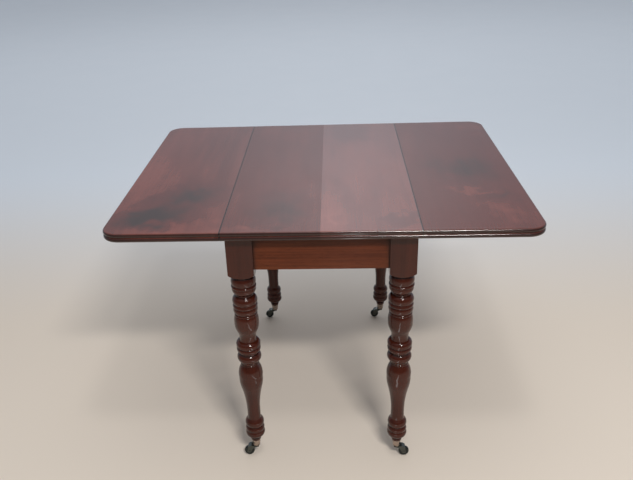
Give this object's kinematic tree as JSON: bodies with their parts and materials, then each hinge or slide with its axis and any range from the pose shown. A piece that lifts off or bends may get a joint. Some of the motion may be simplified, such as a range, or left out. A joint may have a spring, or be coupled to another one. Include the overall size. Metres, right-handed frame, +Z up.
{
  "type": "drop leaf table",
  "caption": "Mahogany table on turned legs with casters, its two leaves hung on rule joints and carried by swing-out fly brackets.",
  "frame": {"origin": "on the floor under the middle of the table top, with both leaves up", "axes": "+X across the leaves to the right, +Y from the front end to the back end, +Z up"},
  "size_m": [1.046, 0.84, 0.73],
  "materials": {
    "top_wood": "french polished mahogany, dark red brown",
    "leg_wood": "french polished turned mahogany, dark",
    "rail_wood": "polished mahogany veneer, warmer and lighter",
    "frame_wood": "unpolished secondary wood with age",
    "brass": "aged cast brass",
    "caster_wheel": "dark tarnished brass",
    "iron": "dull wrought iron"
  },
  "bodies": {
    "frame": {"leg_front_left": "leg_wood", "leg_back_left": "leg_wood", "leg_front_right": "leg_wood", "leg_back_right": "leg_wood", "end_rail_front": "rail_wood", "end_rail_back": "rail_wood", "side_rail_left": "rail_wood", "side_rail_right": "rail_wood", "knuckle_block_left": "frame_wood", "knuckle_block_right": "frame_wood", "top_board_left": "top_wood", "top_board_right": "top_wood", "bracket_pin_front_left": "iron", "bracket_pin_back_left": "iron", "bracket_pin_front_right": "iron", "bracket_pin_back_right": "iron", "hinge_top_plate_front_left": "iron", "hinge_top_plate_back_left": "iron", "hinge_top_plate_front_right": "iron", "hinge_top_plate_back_right": "iron", "hinge_pin_front_left": "iron", "hinge_pin_back_left": "iron", "hinge_pin_front_right": "iron", "hinge_pin_back_right": "iron", "hinge_screws_top": "iron", "knuckle_block_screws": "iron", "pocket_screws": "iron", "glue_blocks": "frame_wood", "caster_socket_front_left": "brass", "caster_socket_back_left": "brass", "caster_socket_front_right": "brass", "caster_socket_back_right": "brass", "caster_socket_pins": "brass"},
    "left_leaf": {"left_leaf": "top_wood", "hinge_leaf_plate_front_left": "iron", "hinge_leaf_plate_back_left": "iron", "hinge_screws_left_leaf": "iron"},
    "right_leaf": {"right_leaf": "top_wood", "hinge_leaf_plate_front_right": "iron", "hinge_leaf_plate_back_right": "iron", "hinge_screws_right_leaf": "iron"},
    "bracket_front_left": {"bracket_front_left": "frame_wood"},
    "bracket_back_left": {"bracket_back_left": "frame_wood"},
    "bracket_front_right": {"bracket_front_right": "frame_wood"},
    "bracket_back_right": {"bracket_back_right": "frame_wood"},
    "caster_front_left": {"caster_horn_front_left": "brass", "caster_axle_front_left": "iron"},
    "caster_wheel_front_left": {"caster_wheel_front_left": "caster_wheel"},
    "caster_back_left": {"caster_horn_back_left": "brass", "caster_axle_back_left": "iron"},
    "caster_wheel_back_left": {"caster_wheel_back_left": "caster_wheel"},
    "caster_front_right": {"caster_horn_front_right": "brass", "caster_axle_front_right": "iron"},
    "caster_wheel_front_right": {"caster_wheel_front_right": "caster_wheel"},
    "caster_back_right": {"caster_horn_back_right": "brass", "caster_axle_back_right": "iron"},
    "caster_wheel_back_right": {"caster_wheel_back_right": "caster_wheel"}
  },
  "joints": [
    {"name": "left_leaf_drop", "type": "hinge", "parent": "frame", "child": "left_leaf", "pos_m": [-0.236, 0, 0.712], "axis": [0, -1, 0], "range_deg": [0, 90]},
    {"name": "right_leaf_drop", "type": "hinge", "parent": "frame", "child": "right_leaf", "pos_m": [0.236, 0, 0.712], "axis": [0, 1, 0], "range_deg": [0, 90]},
    {"name": "bracket_front_left_swing", "type": "hinge", "parent": "frame", "child": "bracket_front_left", "pos_m": [-0.2155, -0.107, 0.66], "axis": [0, 0, 1], "range_deg": [-90, 0]},
    {"name": "bracket_back_left_swing", "type": "hinge", "parent": "frame", "child": "bracket_back_left", "pos_m": [-0.2155, 0.107, 0.66], "axis": [0, 0, -1], "range_deg": [-90, 0]},
    {"name": "bracket_front_right_swing", "type": "hinge", "parent": "frame", "child": "bracket_front_right", "pos_m": [0.2155, -0.107, 0.66], "axis": [0, 0, -1], "range_deg": [-90, 0]},
    {"name": "bracket_back_right_swing", "type": "hinge", "parent": "frame", "child": "bracket_back_right", "pos_m": [0.2155, 0.107, 0.66], "axis": [0, 0, 1], "range_deg": [-90, 0]},
    {"name": "caster_front_left_swivel", "type": "hinge", "parent": "frame", "child": "caster_front_left", "pos_m": [-0.197, -0.3585, 0.0375], "axis": [0, 0, 1], "continuous": true},
    {"name": "caster_front_left_roll", "type": "hinge", "parent": "caster_front_left", "child": "caster_wheel_front_left", "pos_m": [-0.218, -0.3585, 0.0145], "axis": [0, 1, 0], "continuous": true},
    {"name": "caster_back_left_swivel", "type": "hinge", "parent": "frame", "child": "caster_back_left", "pos_m": [-0.197, 0.3585, 0.0375], "axis": [0, 0, 1], "continuous": true},
    {"name": "caster_back_left_roll", "type": "hinge", "parent": "caster_back_left", "child": "caster_wheel_back_left", "pos_m": [-0.218, 0.3585, 0.0145], "axis": [0, 1, 0], "continuous": true},
    {"name": "caster_front_right_swivel", "type": "hinge", "parent": "frame", "child": "caster_front_right", "pos_m": [0.197, -0.3585, 0.0375], "axis": [0, 0, 1], "continuous": true},
    {"name": "caster_front_right_roll", "type": "hinge", "parent": "caster_front_right", "child": "caster_wheel_front_right", "pos_m": [0.218, -0.3585, 0.0145], "axis": [0, 1, 0], "continuous": true},
    {"name": "caster_back_right_swivel", "type": "hinge", "parent": "frame", "child": "caster_back_right", "pos_m": [0.197, 0.3585, 0.0375], "axis": [0, 0, 1], "continuous": true},
    {"name": "caster_back_right_roll", "type": "hinge", "parent": "caster_back_right", "child": "caster_wheel_back_right", "pos_m": [0.176, 0.3585, 0.0145], "axis": [0, 1, 0], "continuous": true}
  ]
}
